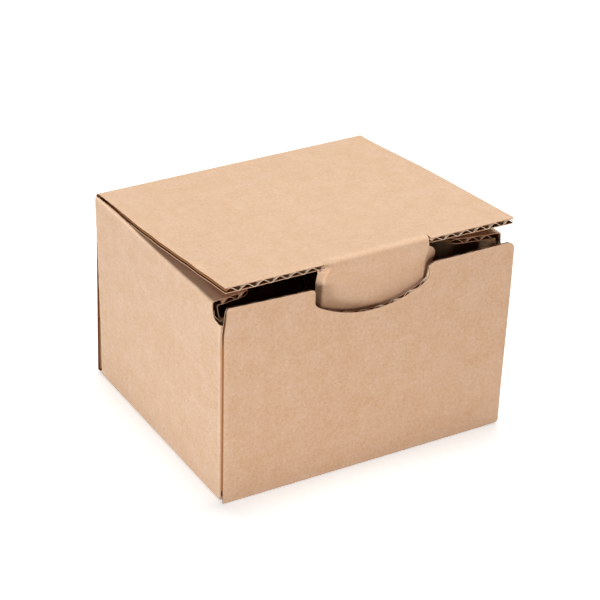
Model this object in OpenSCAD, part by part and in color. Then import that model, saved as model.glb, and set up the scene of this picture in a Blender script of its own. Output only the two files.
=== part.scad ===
// Corrugated mailer box, cut and folded from one sheet of single-wall board.
// The lid is hinged on the back wall and closes with a tongue at its front edge.
// Origin at the middle of the base, front towards -Y, up is +Z, sizes in mm.

/* [Box] */
// Outside width, left to right
box_w = 118; // [100:1:180]
// Outside depth, front to back
box_d = 105; // [80:1:160]
// Height of the walls above the floor's underside
box_h = 76.2; // [60:0.1:140]
// Radius of the rounded corners of the front wall's top edge
wall_corner_r = 3; // [1:0.1:6]
// Radius of the rounded lower corners of the front and back walls
foot_corner_r = 2.2; // [1:0.1:5]

/* [Board] */
// Thickness of the board
board_t = 2.7; // [2.2:0.1:4]
// Thickness of each flat facing
liner_t = 0.4; // [0.2:0.05:0.6]
// Thickness of the waved paper between the facings
medium_t = 0.35; // [0.2:0.05:0.5]
// Length of one wave
flute_pitch = 6.3; // [4:0.1:9]
// Thickness of the board in a crushed crease
crease_t = 2; // [1:0.1:2.2]
// Width of the crushed strip beside a crease
crease_run = 3; // [1.5:0.1:4]
// Radius of the bead that a crease raises inside its fold
crease_bead = 0.35; // [0.2:0.05:0.45]
// Swell of the outer facing round a fold
crease_swell = 0.05; // [0.03:0.01:0.08]
// Distance of the floor's front and back folds from the box's sides
fold_inset = 2.5; // [2.3:0.1:2.6]

/* [Corner ears] */
// Length of the ears glued behind the front and back walls
ear_len = 25; // [10:1:30]
// Drop of the ears' top edge below the walls' top
ear_drop = 4.4; // [2:0.1:8]
// Space under the ears
ear_lift = 0.6; // [0.3:0.1:2]
// Width of the glue line between an ear and its wall
glue_line = 0.15; // [0.1:0.05:0.4]
// Radius of the relief notch at the ends of the dust flaps
notch_r = 5.7; // [4.5:0.1:7]
// Distance of the notch centre from the wall's outside
notch_inset = 3; // [2.5:0.1:4]
// Height of the notch centre above the walls' top
notch_rise = 0.8; // [0:0.1:2]

/* [Dust flaps] */
// Width of the left dust flap
left_flap_w = 13; // [9:0.5:30]
// Width of the right dust flap
right_flap_w = 19.5; // [9:0.5:30]
// Distance from the box's front and back to the ends of the flaps
flap_inset = 8.1; // [7.5:0.1:14]
// Radius of the flaps' rounded free corners
flap_corner_r = 4; // [1:0.5:6]
// Distance from the flaps' free edge to the crest of their last open flute
flap_crest_inset = 7.6; // [7:0.1:9]
// Upward slope of the flaps at their front end, in degrees
flap_slope_front = 6.5; // [0:0.5:10]
// Upward slope of the flaps at their back end, in degrees
flap_slope_back = 0.5; // [0:0.1:1]

/* [Lid] */
// Angle at which the lid stands above its closed place, in degrees
lid_lift = 4.8; // [4:0.1:12]
// Length by which the closed lid reaches past the front wall
lid_overhang = 0.5; // [0:0.1:2]
// Distance of the lid's sides from the box's sides
lid_side_gap = 0.2; // [0:0.1:2]
// Height of the lid's underside above the walls' top at the hinge
lid_rise = 0.1; // [0.1:0.05:1]
// Gap along the hinge crease, between the lid and the back wall
hinge_gap = 0.4; // [0.3:0.05:0.6]
// Radius of the lid's two front corners
lid_corner_r = 0.8; // [0.3:0.1:3]

/* [Tongue] */
// Width of the tongue between its side creases
tongue_w = 43; // [30:1:46]
// Length of the tongue from the lid's top to its tip
tongue_len = 27.5; // [24:0.5:40]
// Sideways offset of the tongue from the middle of the lid
tongue_shift = 1.7; // [-2:0.1:2]
// Distance of the tongue's crease behind the lid's front edge
tongue_setback = 3; // [2.9:0.1:5]
// Inward slope of the hanging tongue, in degrees
tongue_slope = 3.5; // [3:0.5:8]
// Radius of the tongue's lower corners
tongue_corner_r = 9; // [2:0.5:12]
// Greatest width of the tongue's left side strip, outside its crease
left_strip_w = 2.8; // [1.5:0.1:6]
// Greatest width of the tongue's right side strip, outside its crease
right_strip_w = 5; // [1.5:0.1:6]
// Width of both strips below their neck
strip_neck_w = 1.4; // [0.5:0.1:1.5]
// Distance from the lid's fold down to the upper end of both strips
strip_start = 1; // [0.5:0.1:2]
// Distance from the lid's fold down to the widest place of both strips
strip_bulge_drop = 7; // [5:0.5:9]
// Distance from the lid's fold down to the neck of both strips
strip_neck_drop = 12.5; // [11:0.5:14]
// Angle to which the left strip is folded back
left_strip_fold = 28; // [10:1:60]
// Angle to which the right strip is folded back
right_strip_fold = 15; // [10:1:60]
// Width of the slits at the tongue's sides
slit_w = 0.4; // [0.2:0.1:0.8]
// Radius of the lid's corners beside the slits
slit_r = 2.6; // [1:0.1:3]

/* [Finger recess] */
// Width of the recess in the front wall
recess_w = 47; // [40:1:60]
// Depth of the recess at its sides
recess_side = 6.5; // [4:0.5:10]
// Depth of the recess at its middle
recess_depth = 13.2; // [11:0.1:18]
// Radius of the corners at the recess's mouth
recess_mouth_r = 2.4; // [0.5:0.1:4]

/* [Hidden] */
$fn = 48;
kraft = [0.83, 0.67, 0.53];
kraft_light = [0.89, 0.75, 0.61];
// Small overlap that lets a cutter pass through a face
over = 0.5;
// Angle by which a fold laps into its panels, in degrees
fold_lap = 15;
// Step between the end of a fold and the ends of its panels
fold_step = 0.05;
// Height of the waved paper's swing about the board's middle
wave_amp = (board_t - 2 * liner_t - medium_t) / 2;
// Share of a wave at which each gap starts, and the share between its points
gap_start = 0.1;
gap_step = 0.16;
gap_points = 5;
// Faces that the folds turn about: the inside corners of the walls
inner_x = box_w / 2 - board_t;
inner_y = box_d / 2 - board_t;
// Inside corner of the corner ears' folds
ear_y = inner_y - glue_line - board_t;
ear_top = box_h - ear_drop;
ear_foot = board_t + ear_lift;
// End of the dust flaps and of the flutes that run along them
flap_end = box_d / 2 - flap_inset;
// The lid's hinge: inside corner of its fold, and the crease's turning line
hinge_y = inner_y;
hinge_z = box_h + lid_rise;
lid_len = inner_y + box_d / 2 + lid_overhang;
lid_w = box_w - 2 * lid_side_gap;
// Tongue in the lid's own frame, with its crease at tongue_y
tongue_y = -lid_len + tongue_setback + board_t;
tongue_x0 = tongue_shift - tongue_w / 2;
tongue_x1 = tongue_shift + tongue_w / 2;
tongue_hang = tongue_len - board_t;
tongue_turn = lid_lift + tongue_slope;
// Points along the curved part of a strip's outline
strip_points = 8;
// Arc along the bottom of the recess, through its sides and its middle
recess_sag = recess_depth - recess_side;
recess_r = (pow(recess_w / 2, 2) + pow(recess_sag, 2)) / (2 * recess_sag);
recess_facets = 160;

// Gaps between the waved paper and the facings, drawn across the flutes.
// Only gaps that lie whole between x0 and x1 are drawn, and phase moves the crests.
module flute_gaps(x0, x1, phase = 0) {
    half = flute_pitch / 2;
    first = floor((x0 - phase) / half) - 1;
    last = ceil((x1 - phase) / half) + 1;
    for (i = [first : last]) {
        start = phase + i * half;
        // Odd gaps lie under the wave and even gaps lie over it
        side = (i % 2 == 0) ? 1 : -1;
        crest = start - half / 2;
        if (crest >= x0 && crest + flute_pitch <= x1)
            polygon(gap_outline(crest, side));
    }
}

// One gap: a flat side along the facing and a curved side along the wave
function gap_outline(crest, side) = concat(
    [for (k = [0 : gap_points])
        let (f = gap_start + k * gap_step)
        [crest + f * flute_pitch,
         board_t / 2 + side * (wave_amp * cos(360 * f) + medium_t / 2)]],
    [[crest + (1 - gap_start) * flute_pitch, board_t / 2 + side * (board_t / 2 - liner_t)],
     [crest + gap_start * flute_pitch, board_t / 2 + side * (board_t / 2 - liner_t)]]);

// Side view of a panel with its inside face on y = 0, thinned at a creased end
function panel_side(len, crease_0, crease_1) = [
    [0, 0], [len, 0],
    [len, crease_1 ? crease_t : board_t],
    [len - (crease_1 ? crease_run : 0), board_t],
    [crease_0 ? crease_run : 0, board_t],
    [0, crease_0 ? crease_t : board_t]];

// Flat panel: inside face on z = 0, creases = [left, right, bottom, top]
module panel(w, len, creases) {
    intersection() {
        translate([0, len + over, 0])
            rotate([90, 0, 0])
                linear_extrude(len + 2 * over)
                    polygon(panel_side(w, creases[0], creases[1]));
        translate([-over, 0, 0])
            rotate([90, 0, 90])
                linear_extrude(w + 2 * over)
                    polygon(panel_side(len, creases[2], creases[3]));
    }
}

// Flutes that run along y from y0 to y1 in a panel on z = 0
module flutes(x0, x1, y0, y1, phase = 0) {
    translate([0, y1, 0])
        rotate([90, 0, 0])
            linear_extrude(y1 - y0)
                flute_gaps(x0, x1, phase);
}

// Rounded fold about z between two panels, turning from angle a0 by the angle turn.
// It laps a little into both panels, and a bead fills its inside corner.
// The outside ends just short of the panels' ends and the bead just past them.
module fold(len, a0, turn, r = crease_t) {
    rotate([0, 0, a0 - fold_lap])
        rotate_extrude(angle = turn + 2 * fold_lap)
            translate([0, fold_step])
                square([r + crease_swell, len - 2 * fold_step]);
    translate([0, 0, -fold_step])
        cylinder(r = crease_bead, h = len + 2 * fold_step);
}

// The same fold along y, from y = 0 to y = len
module fold_along_y(len, a0, turn) {
    translate([0, len, 0])
        rotate([90, 0, 0])
            fold(len, a0, turn);
}

// Corner cutter: what a rounded corner of radius r takes off a square corner
module corner_cut(r, h) {
    difference() {
        translate([-r, -r, 0]) cube([r + over, r + over, h]);
        translate([-r, -r, -over]) cylinder(r = r, h = h + 2 * over);
    }
}

module floor_panel() {
    translate([-inner_x, inner_y, board_t])
        rotate([180, 0, 0])
            panel(2 * inner_x, 2 * inner_y, [true, true, true, true]);
}

// Stands a panel's plan (x, y) up as a wall whose outside face looks to -Y
module stand_front() {
    translate([0, -inner_y, 0])
        rotate([90, 0, 0])
            children();
}

// Front or back wall with its crease at the floor, drawn in its own plan
module upright_wall(top, top_crease) {
    difference() {
        translate([-box_w / 2, board_t, 0])
            panel(box_w, top - board_t, [false, false, true, top_crease]);
        for (side = [-1, 1])
            scale([side, -1, 1])
                translate([box_w / 2, -board_t, -over])
                    corner_cut(foot_corner_r, board_t + 2 * over);
    }
}

module front_wall() {
    stand_front()
        difference() {
            upright_wall(box_h, false);
            flutes(-box_w, box_w, board_t + crease_run, box_h + over);
            finger_recess();
            for (side = [0, 1])
                mirror([side, 0, 0])
                    translate([box_w / 2, box_h, -over])
                        corner_cut(wall_corner_r, board_t + 2 * over);
        }
}

// Finger recess: a wide shallow arc with short upright sides
module finger_recess() {
    translate([0, box_h, -over])
        linear_extrude(board_t + 2 * over) {
            translate([-recess_w / 2, -recess_side])
                square([recess_w, recess_side + over]);
            intersection() {
                translate([0, recess_r - recess_depth]) circle(r = recess_r, $fn = recess_facets);
                translate([-recess_w / 2, -recess_depth - over])
                    square([recess_w, recess_depth]);
            }
            for (side = [0, 1])
                mirror([side, 0, 0])
                    difference() {
                        translate([recess_w / 2 - over, -recess_mouth_r])
                            square([recess_mouth_r + over, recess_mouth_r + over]);
                        translate([recess_w / 2 + recess_mouth_r, -recess_mouth_r])
                            circle(r = recess_mouth_r);
                    }
        }
}

module back_wall() {
    rotate([0, 0, 180])
        stand_front()
            difference() {
                upright_wall(hinge_z - hinge_gap / 2, true);
                // The flutes are open only along the raw side edges
                for (side = [0, 1])
                    mirror([side, 0, 0])
                        flutes(box_w / 2 - flute_pitch, box_w / 2 + flute_pitch,
                               board_t + crease_run, hinge_z - crease_run,
                               box_w / 2 - flute_pitch / 4);
            }
}

// Side wall, its floor fold and its two corner ears, drawn for the left side
module side_wall() {
    difference() {
        union() {
            translate([-inner_x, 0, 0])
                rotate([90, 0, -90])
                    translate([-ear_y, board_t, 0])
                        panel(2 * ear_y, box_h - 2 * board_t, [true, true, true, true]);
            translate([-inner_x, -ear_y, board_t])
                fold_along_y(2 * ear_y, 180, 90);
            for (end = [0, 1])
                mirror([0, end, 0])
                    corner_ear();
        }
        for (end = [0, 1])
            mirror([0, end, 0])
                relief_notch();
    }
}

// Corner ear with its upright fold, behind the front wall
module corner_ear() {
    translate([-inner_x, -ear_y, ear_foot])
        fold(ear_top - ear_foot, 180, 90);
    translate([-inner_x, -ear_y, 0])
        rotate([90, 0, 0])
            difference() {
                translate([0, ear_foot, 0])
                    panel(ear_len, ear_top - ear_foot, [true, false, false, false]);
                rotate([0, 0, -90])
                    flutes(-ear_top - flute_pitch, -ear_foot + flute_pitch,
                           crease_run, ear_len + over);
            }
}

// Round notch through the end of the flap's fold and the top of the ear's fold
module relief_notch() {
    intersection() {
        translate([-box_w / 2 - over, -box_d / 2 + notch_inset, box_h + notch_rise])
            rotate([0, 90, 0])
                cylinder(r = notch_r, h = board_t + 2 * over);
        translate([-box_w, -inner_y, 0])
            cube([box_w, box_d, 2 * box_h]);
    }
}

// Dust flap on the left side wall: it rises towards the front, so it is twisted
module dust_flap(w) {
    difference() {
        translate([-inner_x, 0, box_h - board_t])
            union() {
                translate([0, -ear_y, 0])
                    fold_along_y(2 * ear_y, 90, 90);
                translate([0, flap_end, 0])
                    rotate([90, 0, 0])
                        linear_extrude(2 * flap_end, slices = 3, segments = 1,
                                       twist = flap_slope_back - flap_slope_front)
                            rotate(flap_slope_back)
                                difference() {
                                    polygon(panel_side(w, true, false));
                                    flute_gaps(crease_run / 2, w + flute_pitch,
                                               w - flap_crest_inset);
                                }
            }
        for (end = [0, 1])
            mirror([0, end, 0]) {
                relief_notch();
                translate([-inner_x + w, -flap_end, box_h - 2 * board_t])
                    mirror([0, 1, 0])
                        corner_cut(flap_corner_r, 4 * board_t);
            }
    }
}

module box_body() {
    color(kraft) {
        floor_panel();
        front_wall();
        back_wall();
        for (end = [0, 1])
            mirror([0, end, 0])
                translate([-box_w / 2 + fold_inset, -inner_y, board_t])
                    rotate([90, 0, 90])
                        fold(box_w - 2 * fold_inset, 180, 90);
        side_wall();
        mirror([1, 0, 0]) side_wall();
        dust_flap(left_flap_w);
        mirror([1, 0, 0]) dust_flap(right_flap_w);
    }
}

// Plan of the lid in its own frame: hinge along y = 0, front edge at -lid_len
module lid_panel() {
    difference() {
        translate([-lid_w / 2, -lid_len, 0])
            panel(lid_w, lid_len, [false, false, false, true]);
        // Over the tongue's crease the flutes are crushed shut, so none is open there
        flutes(-lid_w, tongue_x0 + flute_pitch / 2, -lid_len - over, -crease_run);
        flutes(tongue_x1 - flute_pitch / 2, lid_w, -lid_len - over, -crease_run);
        tongue_slot();
        for (side = [0, 1])
            mirror([side, 0, 0])
                translate([lid_w / 2, -lid_len, -over])
                    mirror([0, 1, 0])
                        corner_cut(lid_corner_r, board_t + 2 * over);
    }
}

// The lid's front edge steps back to the tongue's crease, with rounded slit ends
module tongue_slot() {
    translate([0, 0, -over])
        linear_extrude(board_t + 2 * over) {
            translate([tongue_x0 - slit_w, -lid_len - over])
                square([tongue_w + 2 * slit_w, tongue_setback + board_t + over]);
            for (side = [0, 1])
                translate([side == 0 ? tongue_x0 - slit_w : tongue_x1 + slit_w, -lid_len])
                    mirror([side == 0 ? 1 : 0, 0])
                        difference() {
                            translate([-over, -over]) square([slit_r + over, slit_r + over]);
                            translate([slit_r, slit_r]) circle(r = slit_r);
                        }
        }
}

module lid() {
    color(kraft_light)
        translate([0, hinge_y, hinge_z])
            union() {
                difference() {
                    union() {
                        translate([-lid_w / 2, 0, 0])
                            rotate([90, 0, 90])
                                fold(lid_w, 0, 90 - lid_lift);
                        rotate([-lid_lift, 0, 0]) lid_panel();
                    }
                    // The crease ends flat, above the gap to the back wall
                    translate([-box_w, -2 * crease_run, hinge_gap / 2 - 2 * board_t])
                        cube([2 * box_w, 4 * crease_run, 2 * board_t]);
                }
                rotate([-lid_lift, 0, 0]) tongue();
            }
}

// Tongue: a fold at the lid's front, the hanging panel and a strip at each side
module tongue() {
    translate([0, tongue_y, 0]) {
        translate([tongue_x0, 0, 0])
            rotate([90, 0, 90])
                fold(tongue_w, 90, 90 + tongue_turn, board_t);
        rotate([90 + tongue_turn, 0, 0])
            translate([0, -tongue_hang, 0]) {
                difference() {
                    translate([tongue_x0, 0, 0])
                        panel(tongue_w, tongue_hang, [true, true, false, false]);
                    flutes(tongue_x0 + crease_run / 2, tongue_x1 - crease_run / 2,
                           -over, tongue_hang - crease_run);
                    for (side = [0, 1])
                        translate([side == 0 ? tongue_x0 : tongue_x1, 0, -over])
                            mirror([side == 0 ? 1 : 0, 0, 0])
                                mirror([0, 1, 0])
                                    corner_cut(tongue_corner_r, board_t + 2 * over);
                }
                translate([tongue_x1, 0, 0])
                    tongue_strip(right_strip_w, right_strip_fold);
                translate([tongue_x0, 0, 0])
                    mirror([1, 0, 0])
                        tongue_strip(left_strip_w, left_strip_fold);
            }
    }
}

// Strip on the tongue's right edge, folded back about its crease
module tongue_strip(w, fold_back) {
    translate([0, tongue_hang - strip_start, 0])
        rotate([90, 0, 0])
            fold(tongue_hang - strip_start - tongue_corner_r, 90 - fold_back, fold_back);
    rotate([0, fold_back, 0])
        intersection() {
            panel(w, tongue_hang, [true, false, false, false]);
            translate([0, 0, -over])
                linear_extrude(board_t + 2 * over)
                    polygon(strip_outline(w));
        }
}

// Width of a strip at a distance below the lid's fold
function strip_at(w, drop) =
    drop < strip_bulge_drop
        ? w * sin(90 * (drop - strip_start) / (strip_bulge_drop - strip_start))
        : let (f = (drop - strip_bulge_drop) / (strip_neck_drop - strip_bulge_drop))
          strip_neck_w + (w - strip_neck_w) * (1 + cos(180 * f)) / 2;

// Outline of a strip: it swells below the lid, narrows to a neck and runs on down
function strip_outline(w) = concat(
    [for (k = [0 : strip_points])
        let (drop = strip_start + (strip_neck_drop - strip_start) * k / strip_points)
        [strip_at(w, drop), tongue_hang - drop]],
    [[strip_neck_w, tongue_corner_r + strip_neck_w],
     [0, tongue_corner_r]]);

box_body();
lid();
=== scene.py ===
import math
from functools import partial
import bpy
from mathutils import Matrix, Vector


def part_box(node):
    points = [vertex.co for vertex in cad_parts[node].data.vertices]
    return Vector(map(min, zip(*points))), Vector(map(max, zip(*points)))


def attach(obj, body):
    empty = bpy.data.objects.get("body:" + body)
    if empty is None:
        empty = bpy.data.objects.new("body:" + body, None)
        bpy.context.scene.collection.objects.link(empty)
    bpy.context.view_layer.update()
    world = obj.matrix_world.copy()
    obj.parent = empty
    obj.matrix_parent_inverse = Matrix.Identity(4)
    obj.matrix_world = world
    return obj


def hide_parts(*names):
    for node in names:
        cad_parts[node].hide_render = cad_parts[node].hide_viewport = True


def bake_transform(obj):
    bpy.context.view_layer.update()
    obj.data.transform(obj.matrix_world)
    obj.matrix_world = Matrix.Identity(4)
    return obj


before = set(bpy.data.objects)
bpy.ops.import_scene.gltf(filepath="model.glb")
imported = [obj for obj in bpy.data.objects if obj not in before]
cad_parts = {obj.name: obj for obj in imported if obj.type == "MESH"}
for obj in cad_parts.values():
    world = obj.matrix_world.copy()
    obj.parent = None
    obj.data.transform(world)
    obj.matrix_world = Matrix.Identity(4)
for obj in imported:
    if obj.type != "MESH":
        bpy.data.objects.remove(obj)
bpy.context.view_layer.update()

from types import SimpleNamespace

import bmesh
import bpy
import numpy as np
from bpy.props import FloatProperty, FloatVectorProperty, PointerProperty
from mathutils import Matrix, Vector
from mathutils.geometry import delaunay_2d_cdt

bl_info = {
    "name": "Corrugated mailer box",
    "version": (1, 0, 0),
    "blender": (4, 5, 0),
    "location": "View3D > Sidebar > Mailer box",
    "description": "Folds a mailer box from one sheet of corrugated board",
    "category": "Add Mesh",
}

BODY_LOW, BODY_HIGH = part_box("box_body")
LID_LOW, LID_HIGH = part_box("lid")
FAR = 1e6
NEAR = 1e-3  # two places closer than this count as one
CREASE_LINES = 17  # lines of the mesh across the bend of a crease
# HOLLOW_SHADE: the facings' sides toward the waved paper, painted dark as the shade in the
# hollows between the waves
OUTSIDE, CUT, INSIDE, HOLLOW_SHADE = range(4)  # the papers of a board, as its faces number them
GLUE = 0.15  # glue line between an ear and its wall
OVERHANG = 0.5  # of the lid's front edge over the front wall
TONGUE_BACK = 1.4  # the tongue's outer face lies this far behind the lid's front edge
SLOT = 1.4  # the slits beside the tongue reach this far behind its crease
SEAM = 0.5  # beyond the crushed strip, where the hinge piece meets the wall and the lid


# ---------------- sizes and colours


def length(name, about, default):
    return FloatProperty(name=name, description=about, unit="LENGTH", default=default)


def angle(name, about, degrees):
    return FloatProperty(
        name=name, description=about, unit="ROTATION", default=math.radians(degrees))


def paper_colour(name, about, default):
    return FloatVectorProperty(name=name, description=about, subtype="COLOR", default=default)


class BoxSizes(bpy.types.PropertyGroup):
    """Sizes of the folded box"""

    width: length("Width", "Outside width", BODY_HIGH[0] - BODY_LOW[0])
    depth: length("Depth", "Outside depth", BODY_HIGH[1] - BODY_LOW[1])
    height: length("Wall height", "Height of the walls", 0.0774)
    recess_width: length("Recess width", "Width of the finger recess", 0.047)
    recess_depth: length("Recess depth", "Depth of the recess at its middle", 0.0132)
    ear_length: length("Ear length", "Length of the glued corner ears", 0.025)
    left_flap: length("Left flap", "Width of the left dust flap", 0.013)
    right_flap: length("Right flap", "Width of the right dust flap", 0.0195)


class BoardSizes(bpy.types.PropertyGroup):
    """Make-up of the corrugated board"""

    thickness: length("Board", "Thickness of the board", 0.0027)
    liner: length("Facing", "Thickness of a flat facing", 0.0003)
    medium: length("Waved paper", "Thickness of the waved paper", 0.0003)
    pitch: length("Wave length", "Length of one wave", 0.0063)
    bend: length("Bend", "Outside radius of a folded crease", 0.0011)
    washboard: length("Washboard", "Sag of a facing between two crests", 0.00004)


class LidSizes(bpy.types.PropertyGroup):
    """Sizes of the lid and its tongue"""

    lift: angle("Lift", "Angle at which the lid stands open", 4.3)
    width: length("Width", "Width of the lid", LID_HIGH[0] - LID_LOW[0])
    tongue_width: length("Tongue width", "Width of the tongue", 0.043)
    tongue_length: length("Tongue length", "Length of the hanging tongue", 0.0275)
    tongue_shift: length("Tongue shift", "Sideways offset of the tongue", 0.0017)
    tongue_slope: angle("Tongue slope", "Inward slope of the tongue", 3.5)


class KraftColours(bpy.types.PropertyGroup):
    """Colours of the kraft paper"""

    body: paper_colour("Body", "Paper of the box", (0.74, 0.505, 0.345))
    lid: paper_colour("Lid", "Paper of the lid", (0.75, 0.515, 0.352))
    # the inside paper's own tone, made darker and browner as painted shade of the light bounced
    # inside the box
    inside: paper_colour("Inside", "Paper on the inside of the sheet", (0.52, 0.30, 0.17))
    rubbed: paper_colour(
        "Rubbed", "Paper rubbed pale at edges and creases", (0.84, 0.64, 0.47))
    cut: paper_colour("Cut edge", "Cut edge of the facings", (0.66, 0.42, 0.28))
    # painted shade: the facings' sides toward the waved paper, and outside cut edges along the
    # waves, take this dark colour for the shade in the hollows
    hollow: paper_colour(
        "Hollow", "Inner sides of the facings, between the waves", (0.27, 0.11, 0.045))
    waved: paper_colour("Waved paper", "Waved paper inside the board", (0.84, 0.66, 0.50))


SETTINGS = {
    "mailer_box": BoxSizes,
    "mailer_board": BoardSizes,
    "mailer_lid": LidSizes,
    "mailer_colours": KraftColours,
}


def measures(scene):
    """All sizes in millimetres, and the chains of creases that fold the sheet."""
    box, board, lid = scene.mailer_box, scene.mailer_board, scene.mailer_lid
    m = SimpleNamespace()
    m.w, m.d, m.h = 1e3 * box.width, 1e3 * box.depth, 1e3 * box.height
    m.t, m.liner, m.medium = 1e3 * board.thickness, 1e3 * board.liner, 1e3 * board.medium
    m.pitch, m.sag = 1e3 * board.pitch, 1e3 * board.washboard
    m.recess_w, m.recess_d = 1e3 * box.recess_width, 1e3 * box.recess_depth
    m.flap = {-1: 1e3 * box.left_flap, 1: 1e3 * box.right_flap}
    m.ear = 1e3 * box.ear_length
    m.ix, m.iy = m.w / 2 - m.t, m.d / 2 - m.t
    m.ear_y = m.iy - GLUE - m.t
    m.ear_low, m.ear_top = m.t + 1.3, m.h - 7.2  # heights of its lower and upper edge
    m.flap_end = m.d / 2 - 8.1
    m.lap = 3.0  # crushed strip on either side of the hinge, and joined strip of the floor
    m.hinge_z = m.h - 0.15
    m.lift = lid.lift
    m.lid_w = 1e3 * lid.width
    m.lid_len = m.iy + m.d / 2 + OVERHANG
    m.tongue_at = m.lid_len - TONGUE_BACK - m.t
    m.tuck = 1.6  # how far the tongue dips behind the front wall
    m.tongue_w, m.tongue_len = 1e3 * lid.tongue_width, 1e3 * lid.tongue_length
    m.tip_r, m.shift = 9.0, 1e3 * lid.tongue_shift
    m.x0, m.x1 = m.shift - m.tongue_w / 2, m.shift + m.tongue_w / 2
    # side strips of the tongue: how far they reach past its side, and their turn
    m.strip = {-1: (-1.5, math.radians(76)), 1: (5.0, math.radians(20))}
    m.strip_at = {side: m.tongue_w / 2 - m.t * math.tan(m.strip[side][1] / 2) - inset
                  for side, inset in ((-1, 1.0), (1, 0.0))}
    tight = 1e3 * board.bend
    quarter = math.pi / 2
    m.foot = (m.iy, quarter, 0.3, tight)
    m.hinge = (m.hinge_z - m.t, quarter - m.lift, 0.5, 1.8)
    m.spine = Chain(m, (0, m.t), [
        m.foot, m.hinge, (m.tongue_at, quarter + m.lift + lid.tongue_slope, 0.9, 2.1)])
    m.back_end = m.spine.past(1, -m.lap - SEAM)
    m.lid_start, m.lid_end = m.spine.past(1, m.lap + SEAM), m.spine.past(1, m.lid_len)
    m.slot_end = m.spine.ends[2] - SLOT
    m.panel = Chain(m, (0, m.t), [m.foot, m.hinge])
    m.front = Chain(m, (0, m.t), [m.foot])
    m.brim = np.array(sorted(wall_top(m)))
    m.side = Chain(m, (m.ix - m.lap, m.t), [
        (m.lap, quarter, 0.3, tight), (m.h - 2 * m.t, quarter, 0.3, 0.75)])
    return m


# ---------------- folding


class Chain:
    """A strip of board seen along its creases.

    Each run is (distance to the crease, turn, inside radius, outside radius).
    Places along it are measured on the inside face from corner to corner."""

    ZONE = 1.2

    def __init__(self, m, start, runs):
        self.start, self.runs, self.t = start, runs, m.t
        self.ends = list(np.cumsum([run[0] for run in runs]))

    def past(self, crease, distance):
        return self.ends[crease] + distance

    def path(self, w, turn, r_in, r_out):
        """Straight part, radius and whole length of a bend at the offset w."""
        r = r_in + (r_out - r_in) * np.clip(w / self.t, 0, 1)
        half = np.tan(turn / 2)
        straight = self.ZONE + (w - r) * half
        return straight, r, 2 * straight + r * turn

    def unroll(self, s, w):
        """Place along the sheet with the stretch of the outside of each bend."""
        out = np.array(s, float)
        for end, (_, turn, r_in, r_out) in zip(self.ends, self.runs):
            whole = self.path(w, turn, r_in, r_out)[2]
            share = np.clip((s - end + self.ZONE) / (2 * self.ZONE), 0, 1)
            out = out + (whole - 2 * self.ZONE) * share
        return out

    def fold(self, s, w, turns=None):
        """Where (s along the inside face, w out from it) goes when folded."""
        s = np.asarray(s, float)
        w = np.zeros(s.shape) + w
        a = np.full(s.shape, float(self.start[0]))
        b = np.full(s.shape, float(self.start[1]))
        aim = np.zeros(s.shape)
        x = a + s
        y = b - w
        for k, (reach, turn, r_in, r_out) in enumerate(self.runs):
            if turns and k in turns:
                turn = turns[k]
            cos, sin = np.cos(aim), np.sin(aim)
            a, b = a + reach * cos, b + reach * sin
            straight, r, whole = self.path(w, turn, r_in, r_out)
            u = s - self.ends[k]
            along = (u + self.ZONE) / (2 * self.ZONE) * whole
            before = np.clip(along, 0, straight)
            phi = np.clip((along - straight) / r, 0, turn)
            after = np.clip(along - straight - r * turn, 0, None)
            px = a - self.ZONE * cos + w * sin
            py = b - self.ZONE * sin - w * cos
            px = px + before * cos + r * (np.sin(aim + phi) - sin)
            py = py + before * sin - r * (np.cos(aim + phi) - cos)
            aim = aim + turn
            cos, sin = np.cos(aim), np.sin(aim)
            px, py = px + after * cos, py + after * sin
            bend = np.abs(u) < self.ZONE
            qx, qy = a + u * cos + w * sin, b + u * sin - w * cos
            x = np.where(bend, px, np.where(u >= self.ZONE, qx, x))
            y = np.where(bend, py, np.where(u >= self.ZONE, qy, y))
        return x, y


def smooth(f):
    f = np.clip(f, 0, 1)
    return f * f * (3 - 2 * f)


def bump(distance, width):
    return np.exp(-((distance / width) ** 2))


def settle_back(m, x, y, z, s):
    """The crushed hinge, and a lid that isn't quite flat or square."""
    up = smooth((s - m.iy - 30) / 45)
    share = np.clip((y + 52) / 103, 0, 1)
    z = z - up * (0.35 + (1.4 - 0.5 * x / 59) * share)
    hinge = m.spine.ends[1]
    near = np.clip((s - m.iy) / (hinge - m.iy), 0, 1) * smooth((hinge + 48 - s) / 46)
    x = x * (1 - 0.0205 * near)
    lid = smooth((s - hinge - 4) / 20)
    z = z + lid * (0.16 * np.sin(x / 21 + 0.6) + 0.12 * np.sin(y / 17 + x / 40))
    edge = bump(x + 58.8, 2.0) * lid
    z = z + edge * 0.13 * np.sin(y / 3.1) * np.sin(y / 11.7 + 1)
    dent = bump(x + 58.8, 2.0) * bump(y + 31, 1.9)
    return x + 0.55 * dent, y, z - 0.6 * dent


def rise(m, z):
    """Share of a wall's height, 0 up to a little above the floor."""
    return np.clip((z - 5) / (m.h - 5), 0, 1.1)


def settle_front(m, x, y, z):
    """The front wall bows out a little and stands higher at its left end."""
    up = rise(m, z)
    z = z + up**1.5 * (0.06 - 0.015 * x + 0.00022 * x * x)
    y = y - 0.3 * np.sin(np.pi * np.clip(up, 0, 1)) * np.cos(np.pi * x / 130)
    return x + 0.9 * smooth((x - 40) / 18) * smooth(up / 0.9), y, z


def settle_side(m, side, x, y, z):
    """Side walls that lean or bulge. x is positive outwards on both sides."""
    up = rise(m, z) ** 1.5
    outer = smooth((x - 30) / 20)
    if side < 0:
        x = x + 0.9 * outer * up * smooth((y + 75) / 90)
        z = z + up * (0.8 - 0.2 * y / 50)
    else:
        x = x + 0.8 * outer * smooth(up / 0.9) * smooth((-y - 10) / 40)
        z = z + up * 0.1
    return x, y, z


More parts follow.
